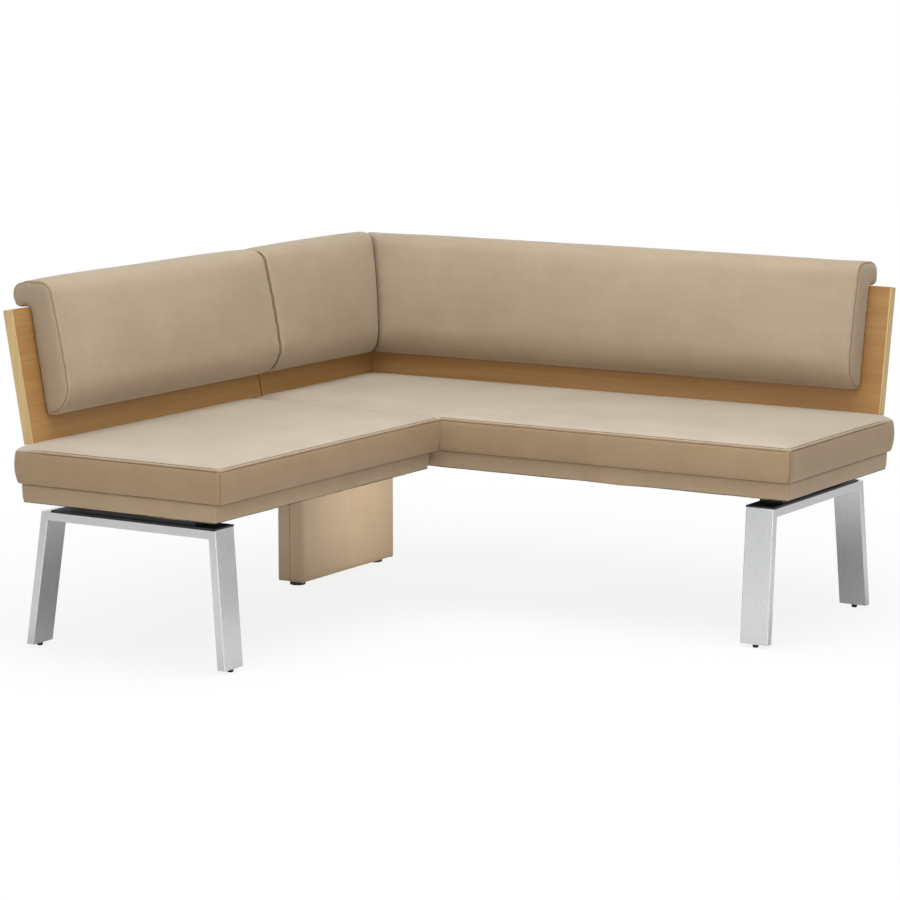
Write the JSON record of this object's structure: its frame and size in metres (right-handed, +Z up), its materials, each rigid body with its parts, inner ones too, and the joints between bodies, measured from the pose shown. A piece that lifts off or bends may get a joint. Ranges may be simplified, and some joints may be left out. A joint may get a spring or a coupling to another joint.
{
  "type": "corner bench",
  "caption": "L-shaped corner bench with boxed upholstered seats, reclined oak back boards with rolled-over pads, splayed flat-tube steel leg frames and an upholstered corner pedestal.",
  "frame": {"origin": "on the floor, under the middle of the bench's rectangular outline seen from above", "axes": "+X along the long wing away from the corner, +Y towards the back of the long wing, +Z up; the short wing runs along -Y"},
  "size_m": [1.5836, 1.5595, 0.8554],
  "materials": {
    "cover_fabric": "matt beige woven microfibre",
    "seat_foam": "open-cell upholstery foam",
    "webbing": "elastic upholstery webbing",
    "dust_cover": "black non-woven cloth",
    "oak_veneer": "oiled oak veneer",
    "oak_lipping": "oiled solid oak",
    "frame_timber": "planed beech",
    "plywood": "raw plywood",
    "chipboard": "raw chipboard",
    "leg_steel": "fine brushed steel tube",
    "black_steel": "satin black powder coat",
    "zinc_steel": "zinc-plated steel",
    "black_nylon": "matt black nylon"
  },
  "bodies": {
    "bench": {"board_joint_plates": "zinc_steel", "board_screws": "zinc_steel", "bracket_bolts": "zinc_steel", "connector_bolts": "zinc_steel", "connector_plates": "zinc_steel", "corner_angle_plates": "zinc_steel", "corner_back_board": "oak_veneer", "corner_back_bracket": "black_steel", "corner_back_pad": "cover_fabric", "corner_pad_carrier": "plywood", "left_front_leg": "leg_steel", "left_leg_crossbar": "leg_steel", "left_leg_plate": "black_steel", "left_leg_spacer": "black_steel", "left_rear_leg": "leg_steel", "leg_frame_bolts": "zinc_steel", "leg_plugs": "black_nylon", "long_back_board": "oak_veneer", "long_back_brackets": "black_steel", "long_back_pad": "cover_fabric", "long_back_rail": "frame_timber", "long_board_lipping": "oak_lipping", "long_cross_rails": "frame_timber", "long_dust_cover": "dust_cover", "long_end_rails": "frame_timber", "long_front_rail": "frame_timber", "long_pad_carrier": "plywood", "long_seat_band": "cover_fabric", "long_seat_cushion": "cover_fabric", "long_seat_foam": "seat_foam", "long_seat_webbing": "webbing", "pad_screws": "zinc_steel", "pedestal_core": "chipboard", "pedestal_cover": "cover_fabric", "pedestal_studs": "zinc_steel", "right_front_leg": "leg_steel", "right_leg_crossbar": "leg_steel", "right_leg_plate": "black_steel", "right_leg_spacer": "black_steel", "right_rear_leg": "leg_steel", "short_back_board": "oak_veneer", "short_back_brackets": "black_steel", "short_back_pad": "cover_fabric", "short_back_rail": "frame_timber", "short_board_lipping": "oak_lipping", "short_cross_rails": "frame_timber", "short_dust_cover": "dust_cover", "short_end_rails": "frame_timber", "short_front_rail": "frame_timber", "short_pad_carrier": "plywood", "short_seat_band": "cover_fabric", "short_seat_cushion": "cover_fabric", "short_seat_foam": "seat_foam", "short_seat_webbing": "webbing"},
    "right_front_foot": {"right_front_glide": "black_nylon"},
    "right_rear_foot": {"right_rear_glide": "black_nylon"},
    "left_front_foot": {"left_front_glide": "black_nylon"},
    "left_rear_foot": {"left_rear_glide": "black_nylon"},
    "pedestal_rear_foot": {"pedestal_rear_glide": "black_nylon"},
    "pedestal_front_foot": {"pedestal_front_glide": "black_nylon"}
  },
  "joints": [
    {"name": "right_front_level", "type": "slide", "parent": "bench", "child": "right_front_foot", "axis": [0, 0, -1], "range_m": [0, 0.01]},
    {"name": "right_rear_level", "type": "slide", "parent": "bench", "child": "right_rear_foot", "axis": [0, 0, -1], "range_m": [0, 0.01]},
    {"name": "left_front_level", "type": "slide", "parent": "bench", "child": "left_front_foot", "axis": [0, 0, -1], "range_m": [0, 0.01]},
    {"name": "left_rear_level", "type": "slide", "parent": "bench", "child": "left_rear_foot", "axis": [0, 0, -1], "range_m": [0, 0.01]},
    {"name": "pedestal_rear_level", "type": "slide", "parent": "bench", "child": "pedestal_rear_foot", "axis": [0, 0, -1], "range_m": [0, 0.01]},
    {"name": "pedestal_front_level", "type": "slide", "parent": "bench", "child": "pedestal_front_foot", "axis": [0, 0, -1], "range_m": [0, 0.01]}
  ]
}
